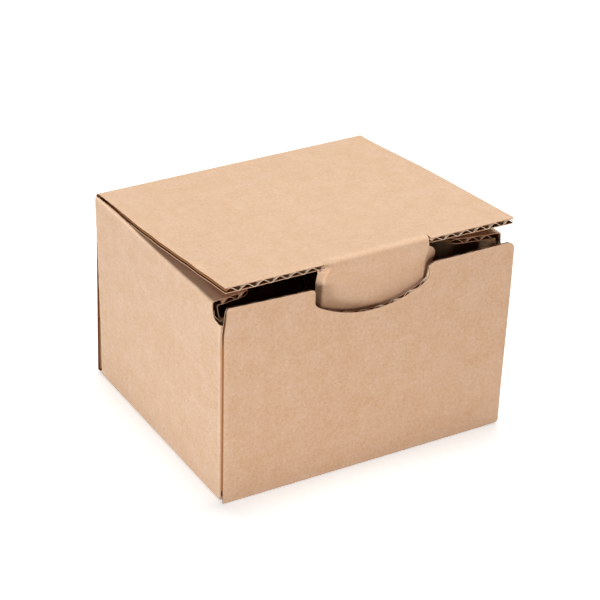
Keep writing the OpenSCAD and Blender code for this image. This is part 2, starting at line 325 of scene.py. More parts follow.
def fold_spine(m, across, along, w, tongue=True):
    """Floor, front wall, back wall and lid: their creases run across the box."""
    back = along >= 0
    s = np.abs(along)
    crushed = 0.36 * smooth(1.6 - np.abs(along - m.spine.ends[1]) / 6)
    brim = np.interp(across, m.brim[:, 0], m.brim[:, 1]) - (s - m.iy + m.t)
    beside = smooth((np.abs(across) - m.recess_w / 2 + 1) / 2)
    squeezed = (0.2 + 0.42 * beside) * np.exp(-np.clip(brim, 0, None) / 1.3)
    w = m.t - (m.t - w) * (1 - np.where(back, crushed, squeezed))
    y, z = (m.spine if tongue else m.panel).fold(s, w)
    bx, by, bz = settle_back(m, across, y, z, s)
    y, z = m.front.fold(s, w)
    fx, fy, fz = settle_front(m, across, -y, z)
    return np.where(back[..., None], np.stack([bx, by, bz], -1), np.stack([fx, fy, fz], -1))


def fold_lid(m, across, along, w):
    """The lid's panel beside the tongue: it stays flat past the tongue's crease."""
    beside = (across < m.x0 - 1e-6) | (across > m.x1 + 1e-6) | (along < m.spine.ends[2] - 1.3)
    crushed = 0.02 + 0.16 * smooth((55 - np.abs(across)) / 30)
    crushed = crushed * smooth(1 - (m.lid_end - along) / 3.2)
    w = w + crushed * (0.4 * m.t - w)
    flat = fold_spine(m, across, along, w, False)
    bent = fold_spine(m, across, along, w)
    return np.where(beside[..., None], flat, bent)


def fold_tongue(m, across, along, w):
    """The tongue hangs from the lid, and its side strips turn back."""
    x = across - m.shift
    right = x > 0
    hang = smooth((along - m.spine.ends[2] - 0.3) / 2.5)
    placed = []
    for side in (-1, 1):
        turn = m.strip[side][1]
        crease = Chain(m, (0, 0), [(m.strip_at[side], 0, 0.3, 0.8 if side < 0 else 1.5)])
        placed.append(crease.fold(np.abs(x), w, {0: turn * hang + 1e-9}))
    px = np.where(right, placed[1][0], -placed[0][0])
    pw = -np.where(right, placed[1][1], placed[0][1])
    y, z = m.spine.fold(along, pw)
    x, y, z = settle_back(m, px + m.shift, y, z, along)
    # it dips behind the front wall, and its face is gently cupped
    drop = along - m.spine.ends[2]
    cup = np.sin(np.pi * np.clip(drop / 25, 0, 1)) * np.cos(np.pi * (x - m.shift) / 60)
    y = y + m.tuck * smooth(drop / 9) - 0.3 * cup
    return np.stack([x, y, z], -1)


def fold_side(m, side, across, along, w):
    """Side wall (across = along the box, along = up), its ears and dust flap."""
    c = m.side
    y0 = np.abs(across)
    ear = Chain(m, (0, 0), [(m.ear_y, 0, 0.3, 0.9)])
    turn = math.pi / 2 * smooth((along - 0.1) / 2.0) + 1e-9
    ey, out = ear.fold(y0, w, {0: turn})
    y = np.sign(across) * ey
    forward = np.clip(0.5 - y / m.d, 0, 1)
    slope = np.radians(0.2 + 6.3 * forward)
    x, z = c.fold(along, -out, {1: math.pi / 2 - slope})
    deep = -out < -1.5
    x = np.where(deep, m.ix - out, x)
    z = np.where(deep, m.t + along - c.ends[0], z)
    # the lid presses the back ends of the flaps down
    flap = smooth((along - c.ends[1]) / 1.0) * smooth((m.w / 2 - 0.4 - x) / 1.2)
    press = (1.6 if side < 0 else 0.8) * np.clip((y - 20) / 24, 0, 1.1)
    x, y, z = settle_side(m, side, x, y, z - press * flap)
    return np.stack([side * x, y, z], -1)


# ---------------- cutting


def arc(cx, cy, r, a0, a1, steps):
    a = np.radians(np.linspace(a0, a1, steps + 1))
    return [(cx + r * math.cos(v), cy + r * math.sin(v)) for v in a]


def split_at(points, across, along):
    """The closed outline with a point wherever it crosses a line of the grid."""
    out = []
    n = len(points)
    for k in range(n):
        p, q = np.array(points[k], float), np.array(points[(k + 1) % n], float)
        cuts = {0.0}
        for axis, lines in ((0, across), (1, along)):
            d = q[axis] - p[axis]
            if abs(d) > 1e-6:
                share = (np.asarray(lines) - p[axis]) / d
                cuts.update(float(f) for f in share if 1e-4 < f < 1 - 1e-4)
        out += [tuple(p + (q - p) * f) for f in sorted(cuts)]
    clean = [out[0]]
    for p in out[1:]:
        if math.dist(p, clean[-1]) > 2e-3:
            clean.append(p)
    return np.array(clean)


def inside(points, outline):
    x, y = points[:, 0], points[:, 1]
    hit = np.zeros(len(points), bool)
    n = len(outline)
    for k in range(n):
        (x0, y0), (x1, y1) = outline[k], outline[(k + 1) % n]
        if y0 == y1:
            continue
        cross = (y0 > y) != (y1 > y)
        hit ^= cross & (x < (x1 - x0) * (y - y0) / (y1 - y0) + x0)
    return hit


def edge_distance(points, a, b):
    """Distance of each point from the nearest of the segments a to b."""
    best = np.full(len(points), FAR)
    for p, q in zip(a, b):
        d = q - p
        f = np.clip(((points - p) @ d) / max(d @ d, 1e-12), 0, 1)
        best = np.minimum(best, np.linalg.norm(points - p - f[:, None] * d, axis=1))
    return best


def on_grid(points, across, along, back=False):
    """Places in millimetres as places counted in lines of the grid, or back."""
    out = []
    for axis, lines in ((0, across), (1, along)):
        count = np.arange(len(lines), dtype=float)
        known, wanted = (count, lines) if back else (lines, count)
        out.append(np.interp(points[:, axis], known, wanted))
    return np.stack(out, 1)


def never(points):
    return np.zeros(len(points), bool)


def cut_sheet(outline, across, along, joined=never, butted=never):
    """Triangles that fill an outline, with corners at the crossings of the grid.

    They are made on a grid of even steps, so that the close lines in a crease
    stay in line. joined tells which outline points are welded to a neighbour,
    and butted which ones lie against another piece of the sheet."""
    across, along = np.array(sorted(across)), np.array(sorted(along))
    lo, hi = np.min(outline, axis=0), np.max(outline, axis=0)
    across, along = (
        np.concatenate([[lo[k] - 1], lines[(lines > lo[k]) & (lines < hi[k])], [hi[k] + 1]])
        for k, lines in enumerate((across, along))
    )
    rim = split_at(outline, across, along)
    nxt = np.roll(rim, -1, axis=0)
    if np.sum(rim[:, 0] * nxt[:, 1] - nxt[:, 0] * rim[:, 1]) < 0:
        rim = rim[::-1].copy()
        nxt = np.roll(rim, -1, axis=0)
    way = nxt - np.roll(rim, 1, axis=0)
    way /= np.linalg.norm(way, axis=1)[:, None]
    normal = np.stack([-way[:, 1], way[:, 0]], 1)
    open_edge = np.ones(len(rim), bool)
    for test in (joined, butted):
        held = test(rim)
        open_edge &= ~(held & np.roll(held, -1))
    free = open_edge & np.roll(open_edge, 1)
    rings = []
    for inset in (0.7, 1.7):
        ring = rim + inset * normal
        keep = inside(ring, rim) & (edge_distance(ring, rim, nxt) > 0.93 * inset)
        rings.append(ring[keep])
    rings = np.concatenate(rings)
    rim_g = on_grid(rim, across, along)
    nxt_g = np.roll(rim_g, -1, axis=0)
    rings_g = on_grid(rings, across, along)
    rings_g = rings_g[edge_distance(rings_g, rim_g, nxt_g) > 0.1]
    grid = np.array([(i, j) for i in range(len(across)) for j in range(len(along))], float)
    keep = inside(grid, rim_g) & (edge_distance(grid, rim_g, nxt_g) > 0.25)
    grid = grid[keep]
    gap = np.full(len(grid), FAR)
    for p in rings_g:
        gap = np.minimum(gap, np.abs(grid - p).max(axis=1))
    grid = grid[gap > 0.25]
    everything = np.concatenate([rim_g, rings_g, grid])
    count = len(rim)
    edges = [(k, (k + 1) % count) for k in range(count)]
    verts, _, faces, origins, _, _ = delaunay_2d_cdt(
        [Vector(p) for p in everything], edges, [], 1, 1e-6
    )
    verts = np.array([tuple(v) for v in verts])
    tris = np.array([f for f in faces if len(f) == 3])
    tris = tris[inside(verts[tris].mean(axis=1), rim_g)]
    verts = on_grid(verts, across, along, True)
    inward = np.zeros(verts.shape)
    for k, sources in enumerate(origins):
        if sources and sources[0] < count:
            verts[k] = rim[sources[0]]
            inward[k] = normal[sources[0]] * free[sources[0]]
    wear = edge_distance(verts, rim[open_edge], nxt[open_edge])
    return SimpleNamespace(points=verts, tris=tris, wear=wear, inward=inward, joined=joined)


def rim_edges(tris):
    """Edges that only one triangle has, in its direction."""
    e = np.concatenate([tris[:, [0, 1]], tris[:, [1, 2]], tris[:, [2, 0]]])
    known = {}
    for a, b in e:
        key = (min(a, b), max(a, b))
        known[key] = None if key in known else (a, b)
    return [v for v in known.values() if v is not None]


class Board:
    """Collects folded pieces of the sheet and turns them into one mesh."""

    def __init__(self):
        self.verts, self.faces, self.mats, self.count = [], [], [], 0
        self.flat, self.wear, self.crease, self.tone = [], [], [], []

    def add(self, verts, faces, mats, *values):
        """A folded piece. values: place on the flat sheet, wear, crease and tone, the strength
        of its painted shade.
        """
        self.verts.append(verts)
        self.faces += [tuple(int(i) + self.count for i in f) for f in faces]
        self.mats += mats
        for kept, value in zip((self.flat, self.wear, self.crease, self.tone), values):
            kept.append(value)
        self.count += len(verts)

    def facing(self, m, sheet, fold, chain, outer, creases, crest=0.0, lay=None, tone=None):
        """One facing of the board, on its outside or its inside.

        creases = [(axis on the flat piece, place)]. lay: where the piece belongs on
        the whole flat sheet."""
        low, high = (m.t - m.liner, m.t) if outer else (0.0, m.liner)
        points, tris = sheet.points, sheet.tris
        n = len(points)
        if not outer:
            # the cutting die leaves the inside facing short and pressed outwards
            points = points + 0.3 * sheet.inward
        press = bump(sheet.wear, 0.9) * (-0.06 if outer else 0.3)
        across, along = points[:, 0], points[:, 1]
        wave = along if lay else across
        hollow = 0.5 - 0.5 * np.cos(2 * math.pi * ((wave - crest) / m.pitch - (not outer) / 2))
        sag = (-1 if outer else 1) * m.sag * hollow + press
        layers = [fold(across, along, w + sag) for w in (low, high)]
        faces = [tuple(t + n) for t in tris] + [tuple(t[::-1]) for t in tris]
        # the sides toward the waved paper take the painted shade of the hollows
        over, under = (OUTSIDE, HOLLOW_SHADE) if outer else (HOLLOW_SHADE, INSIDE)
        mats = [over] * len(tris) + [under] * len(tris)
        held = sheet.joined(sheet.points)
        other = across if lay else along
        for a, b in rim_edges(tris):
            if held[a] and held[b]:
                continue
            faces.append((a, b, b + n, a + n))
            # an outside edge that runs along the waves is open to the hollow behind it, and
            # takes the painted shade of the hollow
            runs_along = abs(wave[a] - wave[b]) < 0.3 * abs(other[a] - other[b])
            mats.append(HOLLOW_SHADE if outer and runs_along else CUT)
        place_on = np.sign(along) * chain.unroll(np.abs(along), np.full(n, low))
        first, second = lay(across, place_on) if lay else (across, place_on)
        flat = np.stack([first, second, np.full(n, low)], 1)
        near = np.zeros(n)
        for coordinate, place in creases:
            near = np.maximum(near, bump(points[:, coordinate] - place, 0.6))
        # tone: how strongly painted shade darkens each point
        deep = tone(across, along, outer) if tone else np.zeros(n)
        values = [np.concatenate([v, v]) for v in (flat, sheet.wear, near, deep)]
        self.add(np.concatenate(layers), faces, mats, *values)

    def facings(self, m, sheet, fold, chain, creases, **more):
        for outer in (False, True):
            self.facing(m, sheet, fold, chain, outer, creases, **more)

    def piece(self, name, materials, weld=True):
        me = bpy.data.meshes.new(name)
        me.from_pydata((np.concatenate(self.verts) * 1e-3).tolist(), [], self.faces)
        me.polygons.foreach_set("material_index", np.array(self.mats, np.int32))
        flat = me.attributes.new("flat", "FLOAT_VECTOR", "POINT")
        flat.data.foreach_set("vector", np.concatenate(self.flat).astype(np.float32).ravel())
        wear = np.exp(-np.concatenate(self.wear) / 0.9)
        # the tone attribute carries the painted shade
        for label, values in (("wear", wear), ("crease", np.concatenate(self.crease)),
                              ("tone", np.concatenate(self.tone))):
            layer = me.attributes.new(label, "FLOAT", "POINT")
            layer.data.foreach_set("value", values.astype(np.float32))
        for material in materials:
            me.materials.append(material)
        bm = bmesh.new()
        bm.from_mesh(me)
        if weld:
            bmesh.ops.remove_doubles(bm, verts=bm.verts, dist=2e-6)
        bmesh.ops.recalc_face_normals(bm, faces=bm.faces)
        bm.to_mesh(me)
        bm.free()
        me.shade_smooth()
        me.set_sharp_from_angle(angle=math.radians(38))
        me.update()
        return place(name, me)


def place(name, data):
    """A mesh, lamp or camera, put into the scene under its name."""
    held = bpy.data.objects.new(name, data)
    bpy.context.scene.collection.objects.link(held)
    return held


def steps(low, high, spacing):
    n = max(1, int(round((high - low) / spacing)))
    return list(np.linspace(low, high, n + 1))


def crease_lines(count):
    return np.linspace(-Chain.ZONE, Chain.ZONE, count)


def around(chain, creases, extra=()):
    """Rows along a chain: close together in each crease, wide apart between them."""
    rows = set(extra)
    for crease in creases:
        end = chain.ends[crease]
        rows.update(end + crease_lines(CREASE_LINES))
        rows.update(end + side * d for side in (-1, 1) for d in (1.5, 2.1, 3.2, 5.0))
    return sorted(rows)


# ---------------- outlines


def wall_height(m, z):
    """Place on the sheet of a height on the front or back wall."""
    return m.iy + z - m.t


def recess_outline(m):
    """Top edge of the front wall from right to left, with the finger recess."""
    top, half, side = m.h, m.recess_w / 2, 6.5
    sag = m.recess_d - side
    r = (half**2 + sag**2) / (2 * sag)
    low = top - m.recess_d
    span = math.degrees(math.asin(half / r)) - 2.5
    right, left = 2.4, 1.6
    run = arc(half + right, top - right, right, 90, 180, 8)
    run += [(half, top - side + 1.6), (half - 0.2, top - side + 0.7), (half - 0.7, top - side)]
    run += arc(0, low + r, r, 270 + span, 270 - span, 44)
    run += [(-half + 0.5, top - side - 0.1), (-half + 0.1, top - side + 0.6)]
    run += [(-half, top - side + 1.2)]
    run += arc(-half - left, top - left, left, 0, 90, 6)
    return run


def wall_top(m):
    """Whole top edge of the front wall, from right to left."""
    return arc(m.w / 2 - 3, m.h - 3, 3, 0, 90, 8) + recess_outline(m) + left_corner(m)


def left_corner(m):
    """Worn left top corner of the front wall, from its top edge to its side edge."""
    half = m.w / 2
    side = [(-half + 1.15, m.h - 1.9), (-half + 0.95, m.h - 3.8), (-half + 0.5, m.h - 6.5)]
    return arc(-half + 2.1, m.h - 0.9, 0.9, 90, 175, 5) + side + [(-half, m.h - 10)]


def lower_corner(m, side, r):
    """Lower corner of a wall, from the floor to the wall's side edge."""
    half, s = m.w / 2, m.iy - 0.1
    run = [(m.ix - m.lap, m.ear_y), (55.5, m.ear_y + 0.2), (55.5, s), (half - r, s)]
    for a in (20, 40, 60, 80, 90):
        a = math.radians(a)
        run.append((half - r + r * math.sin(a), s + (0.1 + 0.3 * r) * (1 - math.cos(a))))
    return [(side * x, y) for x, y in run]


def spine_outline(m):
    """Front wall, floor and back wall, flat: x across, s along."""
    half = m.w / 2
    right = [(x, -s) for x, s in lower_corner(m, 1, 2.0)]
    left = [(x, -s) for x, s in lower_corner(m, -1, 0.6)]
    front = [(x, -wall_height(m, z)) for x, z in wall_top(m)]
    back = lower_corner(m, -1, 1.0) + [(-half, m.back_end), (half, m.back_end)]
    back += list(reversed(lower_corner(m, 1, 1.0)))
    return right + front + list(reversed(left)) + back


def side_outline(m, side):
    """Side wall with its ears and dust flap, flat: along the box, then up."""
    c = m.side
    top = c.ends[1]
    turn = m.ear_y + 0.9
    end = m.ear_y + m.ear
    flap = c.past(1, m.flap[side])

    def up(z):
        return c.past(0, z - m.t)

    foot = [(m.ear_y, 0.0), (m.ear_y, 2.2), (turn, 2.4), (turn, up(m.ear_low))]
    ear = foot + [(end, up(m.ear_low))] + arc(end - 3, up(m.ear_top) - 3, 3, 0, 90, 5)
    free = arc(m.flap_end - 4, flap - 4, 4, 0, 90, 6)
    r = top - up(m.ear_top)
    front = ear + [(turn, up(m.ear_top))] + arc(44.1 + r, top, r, -93, -180, 10)
    front += [(44.1, top + 0.6), (m.flap_end, top + 2)] + free
    back = ear + [(turn, up(m.ear_top)), (turn, top + 0.1), (45.6, top + 0.2)]
    back += [(44.8, top + 0.9), (m.flap_end, top + 2.4)] + free
    return [(-y, s) for y, s in front] + list(reversed(back))


def lid_outline(m):
    """Lid from the hinge to its front edge, with the slot for the tongue."""
    half, front, deep = m.lid_w / 2, m.lid_end, m.slot_end
    slit, r = 0.06, 0.35
    run = [(-half, m.lid_start), (half, m.lid_start)]
    run += arc(half - 0.8, front - 0.8, 0.8, 0, 90, 4)
    run += arc(m.x1 + slit + r, front - r, r, 90, 180, 4)
    run += [(m.x1 + slit, deep), (m.x1, deep), (m.x0, deep), (m.x0 - slit, deep)]
    run += arc(m.x0 - slit - r, front - r, r, 0, 90, 4)
    run += arc(-half + 0.8, front - 0.8, 0.8, 90, 180, 4)
    return run


def strip_edge(m, side):
    """Outer edge of a side strip below the lid: (beyond the tongue's side, drop)."""
    reach = m.strip[side][0]
    if side < 0:
        return [(reach * float(smooth((d - 0.5) / 3)), d) for d in np.linspace(0.6, 16, 16)]
    start, bulge, neck = 1.0, 7.5, 13.0
    run = []
    for drop in np.linspace(start, neck, 15):
        if drop < bulge:
            w = reach * math.sin(math.pi / 2 * (drop - start) / (bulge - start))
        else:
            f = (drop - bulge) / (neck - bulge)
            w = 1.4 + (reach - 1.4) * (1 + math.cos(math.pi * f)) / 2
        run.append((max(w, 0.05), drop))
    return run + [(1.2, 15.0), (0.7, 16.2)]


def tongue_outline(m):
    """Tongue from the lid to its tip, with its two side strips."""
    c = m.spine
    half = m.tongue_w / 2
    top, tip, r = m.slot_end, c.past(2, m.tongue_len - m.t), m.tip_r
    sides = {}
    for side in (-1, 1):
        run = [(half, top), (half, c.past(2, 0.5))]
        run += [(half + w, c.past(2, d)) for w, d in strip_edge(m, side)]
        run += arc(half - r, tip - r, r, 6 if side > 0 else 0, 82, 10)
        run += [(half - r, tip)]
        if side < 0:
            edge = half + m.strip[side][0]
            run = [(min(x, edge) if y > c.past(2, 4) else x, y) for x, y in run]
        sides[side] = [(m.shift + side * x, y) for x, y in run]
    return sides[1] + list(reversed(sides[-1]))


# ---------------- waved paper


def new_group(name, kind, inputs, outputs):
    """A node group and its inputs.

    Each socket has a default value, or the name of its kind where it has none."""
    tree = bpy.data.node_groups.new(name, kind)
    for way, sockets in (("INPUT", inputs), ("OUTPUT", outputs)):
        for label, value in sockets.items():
            sort = {tuple: "Color", float: "Float", str: value}[type(value)]
            socket = tree.interface.new_socket(
                name=label, in_out=way, socket_type="NodeSocket" + sort)
            if value != sort:
                socket.default_value = value
    return tree, tree.nodes.new("NodeGroupInput").outputs


def fill(tree, node, inputs):
    """Sets or links the inputs of a node, each by its name or number."""
    for key, value in inputs.items():
        if isinstance(value, bpy.types.NodeSocket):
            tree.links.new(value, node.inputs[key])
        else:
            node.inputs[key].default_value = value


def add_node(tree, kind, inputs, **settings):
    """Outputs of a new node with these inputs and settings."""
    node = tree.nodes.new(kind)
    for name, value in settings.items():
        setattr(node, name, value)
    fill(tree, node, inputs)
    return node.outputs


def node_math(tree, kind, a, b=None, clamp=False):
    inputs = {0: a} if b is None else {0: a, 1: b}
    return add_node(tree, "ShaderNodeMath", inputs, operation=kind, use_clamp=clamp)[0]


def sums(tree):
    """Sum and product of two values."""
    return partial(node_math, tree, "ADD"), partial(node_math, tree, "MULTIPLY")


def flute_tree():
    """Geometry Nodes: a flat ribbon becomes waved paper of the given thickness."""
    tree, given = new_group("Waved paper", "GeometryNodeTree", {
        "Geometry": "Geometry", "Wave length": 6.3, "Wave height": 0.8, "Crest": 0.0,
        "Middle": 1.35, "Paper": 0.3, "Material": "Material",
    }, {"Geometry": "Geometry"})
    plus, times = sums(tree)
    position = add_node(tree, "GeometryNodeInputPosition", {})[0]
    x = add_node(tree, "ShaderNodeSeparateXYZ", {0: position})[0]
    beyond = node_math(tree, "SUBTRACT", x, given["Crest"])
    turn = times(node_math(tree, "DIVIDE", beyond, given["Wave length"]), 2 * math.pi)
    # a wave with straight flanks: the third harmonic sharpens the plain cosine
    third = times(node_math(tree, "COSINE", times(turn, 3.0)), 0.06)
    wave = plus(times(node_math(tree, "COSINE", turn), 0.94), third)
    rise = plus(times(wave, given["Wave height"]), given["Middle"])
    low = node_math(tree, "SUBTRACT", rise, times(given["Paper"], 0.5))
    offset = add_node(tree, "ShaderNodeCombineXYZ", {2: low})[0]
    waved = add_node(tree, "GeometryNodeSetPosition", {
        "Geometry": given["Geometry"], "Offset": offset})[0]
    up = add_node(tree, "ShaderNodeCombineXYZ", {2: 1.0})[0]
    thick = add_node(tree, "GeometryNodeExtrudeMesh", {
        "Mesh": waved, "Individual": False, "Offset": up, "Offset Scale": given["Paper"],
    }, mode="FACES")["Mesh"]
    under = add_node(tree, "GeometryNodeFlipFaces", {"Mesh": waved})["Mesh"]
    joined = tree.nodes.new("GeometryNodeJoinGeometry")
    for face in (thick, under):
        tree.links.new(face, joined.inputs[0])
    merged = add_node(tree, "GeometryNodeMergeByDistance", {
        "Geometry": joined.outputs[0], "Distance": 1e-4})[0]
    real = add_node(tree, "GeometryNodeRealizeInstances", {0: merged})[0]
    painted = add_node(tree, "GeometryNodeSetMaterial", {
        "Geometry": real, "Material": given["Material"]})[0]
    add_node(tree, "NodeGroupOutput", {0: painted})
    return tree


def waved_ribbon(m, tree, material, columns, rows, crest=0.0):
    """Waved paper, still flat: its points as (across, along, height), and its faces.

    columns = [(place across the waves, low end, high end)], rows = shares of a column."""
    n = len(rows)
    verts = [(x, low + f * (high - low), 0.0) for x, low, high in columns for f in rows]
    faces = [
        (k * n + j, (k + 1) * n + j, (k + 1) * n + j + 1, k * n + j + 1)
        for k in range(len(columns) - 1)
        for j in range(n - 1)
    ]
    me = bpy.data.meshes.new("ribbon")
    me.from_pydata(verts, [], faces)
    ribbon = place("ribbon", me)
    modifier = ribbon.modifiers.new("Waved paper", "NODES")
    modifier.node_group = tree
    values = {
        "Wave length": m.pitch, "Wave height": (m.t - 2 * m.liner - m.medium) / 2,
        "Crest": crest, "Middle": m.t / 2, "Paper": m.medium, "Material": material,
    }
    for item in tree.interface.items_tree:
        if item.in_out == "INPUT" and item.name in values:
            modifier[item.identifier] = values[item.name]
    depsgraph = bpy.context.evaluated_depsgraph_get()
    result = bpy.data.meshes.new_from_object(ribbon.evaluated_get(depsgraph))
    points = np.array([tuple(v.co) for v in result.vertices])
    polygons = [tuple(p.vertices) for p in result.polygons]
    bpy.data.objects.remove(ribbon)
    for used in (me, result):
        bpy.data.meshes.remove(used)
    return points, polygons


def corner_drop(r, d):
    """How far a corner rounded by r lies below its edge, at d beyond the straight part."""
    return r - math.sqrt(max(0, r * r - d * d))


def wave_columns(m, low, high, ends):
    """Twelve columns to a wave, with the places of their two ends."""
    return [(x, *ends(x)) for x in steps(low, high, m.pitch / 12)]


def flap_painted_shade(m, across, along, outer):
    """Painted shade on the dust flaps under the lid, darker towards the front, and on the
    inside facing beside the ear notches.
    """
    flap = smooth((along - m.side.ends[1] - 0.3) / 2.5)
    notch = (not outer) * smooth((np.abs(across) - m.ear_y + 1.6) / 1.2)
    notch = notch * smooth((along - m.side.past(0, m.ear_top - m.t) + 2.5) / 2)
    return flap * (0.75 + 0.25 * smooth(0.5 - across / 88)) + 2 * notch


def add_waved(board, ribbon, fold, turned=False, tone=0.0):
    """Fold waved paper into the board. turned: its columns are places up the wall. tone: how
    strongly painted shade darkens it.
    """
    points, polygons = ribbon
    across, along = points[:, 0], points[:, 1]
    if turned:
        across, along = along, across
    else:
        # beside an edge that runs along the waves, the last of them gets painted shade
        side = np.abs(across)
        tone = np.maximum(tone, 2.2 * smooth((side - side.max() + 1.2) / 0.3))
    n = len(points)
    placed = fold(across, along, points[:, 2])
    board.add(placed, polygons, [0] * len(polygons), points,
              np.full(n, 20.0), np.zeros(n), np.broadcast_to(tone, n))


# ---------------- materials


def mix_colours(tree, kind, share, a, b):
    inputs = {0: share, 6: a, 7: b}
    return add_node(tree, "ShaderNodeMix", inputs, data_type="RGBA", blend_type=kind)[2]


def noise(tree, vector, stretch, scale, detail, roughness):
    mapped = add_node(tree, "ShaderNodeMapping", {"Vector": vector, "Scale": stretch})[0]
    return add_node(tree, "ShaderNodeTexNoise", {
        "Vector": mapped, "Scale": scale, "Detail": detail, "Roughness": roughness})["Fac"]


def to_range(tree, value, low, high, to_low=0.0, to_high=1.0):
    return add_node(tree, "ShaderNodeMapRange", {
        "Value": value, "From Min": low, "From Max": high, "To Min": to_low, "To Max": to_high,
    }, clamp=True)["Result"]


def mesh_value(tree, name, output="Fac"):
    return add_node(tree, "ShaderNodeAttribute", {}, attribute_name=name)[output]


def fibre_group():
    """Paper fibres: cloudy tone, long light and dark fibres, and a fine tooth."""
    tree, given = new_group("Paper fibres", "ShaderNodeTree", {
        "Vector": "Vector", "Paper": (0.6, 0.4, 0.27, 1), "Cloud": 0.1, "Fibres": 0.2,
    }, {"Color": "Color", "Height": "Float"})
    plus, times = sums(tree)
    make = partial(noise, tree, given["Vector"])
    cloud, mottle = make((1, 1, 1), 0.16, 3, 0.6), make((1.0, 0.8, 1), 0.8, 3, 0.7)
    grain = make((1.2, 1.0, 1), 2.3, 2, 0.6)
    tone = plus(plus(times(cloud, 0.22), times(mottle, 0.33)), times(grain, 0.45))
    tone = plus(times(to_range(tree, tone, 0.3, 0.7, -1.0, 1.0), given["Cloud"]), 1.0)
    # the dark clouds are browner than the light ones
    shade = add_node(tree, "ShaderNodeCombineColor", {
        k: node_math(tree, "POWER", tone, share) for k, share in enumerate((0.55, 1.0, 1.9))})
    colour = mix_colours(tree, "MULTIPLY", 1.0, given["Paper"], shade[0])
    for stretch, scale, full, fibre in (
        ((3.4, 0.75, 1), 1.3, 0.74, (0.36, 0.2, 0.11, 1)),
        ((0.7, 3.1, 1), 1.5, 0.75, (0.86, 0.68, 0.5, 1)),
    ):
        lines = times(to_range(tree, make(stretch, scale, 2, 0.5), 0.66, full), given["Fibres"])
        colour = mix_colours(tree, "MIX", lines, colour, fibre)
    tooth = make((2.2, 1.6, 1), 3.2, 3, 0.6)
    height = plus(times(tooth, 0.6), times(mottle, 0.4))
    add_node(tree, "NodeGroupOutput", {"Color": colour, "Height": height})
    return tree


def wear_and_shade_group():
    """Edge wear and painted shade: paper rubbed lighter at cut edges and creases, and darkened
    by painted shade where the tone attribute says.
    """
    tree, given = new_group("Rubbed edges and painted shade", "ShaderNodeTree", {
        "Vector": "Vector", "Color": (0.6, 0.4, 0.27, 1), "Rubbed": (0.8, 0.62, 0.45, 1),
        "Edge": 0.3, "Crease": 0.3, "Painted_shade": 0.45,
    }, {"Color": "Color"})
    plus, times = sums(tree)
    rough = noise(tree, given["Vector"], (1, 1, 1), 0.9, 4, 0.7)
    edge = times(mesh_value(tree, "wear"), given["Edge"])
    crease = times(mesh_value(tree, "crease"), given["Crease"])
    share = times(plus(edge, crease), to_range(tree, rough, 0.3, 0.7, 0.3, 1.3), True)
    colour = mix_colours(tree, "MIX", share, given["Color"], given["Rubbed"])
    # painted shade: the tone attribute darkens the paper towards this brown
    deep = times(mesh_value(tree, "tone"), given["Painted_shade"], True)
    colour = mix_colours(tree, "MULTIPLY", deep, colour, (0.5, 0.27, 0.14, 1))
    add_node(tree, "NodeGroupOutput", {"Color": colour})
    return tree


# paper: its colour, colour where rubbed, cloudy tone, fibres, wear at edges and at
# creases, relief, sheen, and how strongly painted shade darkens it
PAPERS = {
    "Kraft_body": ("body", "rubbed", 0.25, 0.3, 0.2, 0.2, 0.4, 0.12, 0.75),
    "Kraft_lid": ("lid", "rubbed", 0.2, 0.26, 0.08, 0.2, 0.6, 0.12, 0.45),
    "Kraft_inside": ("inside", "rubbed", 0.16, 0.25, 0.0, 0.0, 0.35, 0.12, 0.45),
    "Cut_paper": ("cut", "cut", 0.16, 0.4, 0.0, 0.0, 0.6, 0.03, 0.45),
    # a dark paper that paints the shade in the hollows between the waves
    "Flute_hollow_shade": ("hollow", "cut", 0.1, 0.05, 0.0, 0.0, 0.3, 0.02, 0.45),
    "Waved_paper": ("waved", "cut", 0.1, 0.3, 0.0, 0.0, 0.4, 0.03, 0.45),
}


def kraft_material(name, colours, fibre_tree, wear_and_shade_tree):
    paper, rubbed, cloud, fibres, edge, crease, relief, sheen, deep = PAPERS[name]
    material = bpy.data.materials.new(name)
    material.use_nodes = True
    tree = material.node_tree
    vector = mesh_value(tree, "flat", "Vector")
    fibre = add_node(tree, "ShaderNodeGroup", {
        "Vector": vector, "Paper": (*getattr(colours, paper), 1), "Cloud": cloud,
        "Fibres": fibres,
    }, node_tree=fibre_tree)
    worn = add_node(tree, "ShaderNodeGroup", {
        "Vector": vector, "Color": fibre["Color"], "Rubbed": (*getattr(colours, rubbed), 1),
        "Edge": edge, "Crease": crease, "Painted_shade": deep,
    }, node_tree=wear_and_shade_tree)
    bumps = add_node(tree, "ShaderNodeBump", {
        "Strength": relief, "Distance": 0.00012, "Height": fibre["Height"]})
    fill(tree, tree.nodes["Principled BSDF"], {
        "Base Color": worn["Color"], "Normal": bumps[0],
        "Roughness": to_range(tree, fibre["Height"], 0.3, 0.7, 0.78, 0.92),
        "Specular IOR Level": 2 * sheen, "Sheen Weight": sheen, "Sheen Roughness": 0.5,
    })


def kraft_papers(scene, *names):
    """Papers of the box by name, all made at the first call."""
    if names[0] not in bpy.data.materials:
        groups = fibre_group(), wear_and_shade_group()
        for name in PAPERS:
            kraft_material(name, scene.mailer_colours, *groups)
    return [bpy.data.materials[name] for name in names]


def board_papers(scene, outside):
    """The papers OUTSIDE, CUT, INSIDE and HOLLOW_SHADE of a board."""
    return kraft_papers(scene, outside, "Cut_paper", "Kraft_inside", "Flute_hollow_shade")


# ---------------- operators


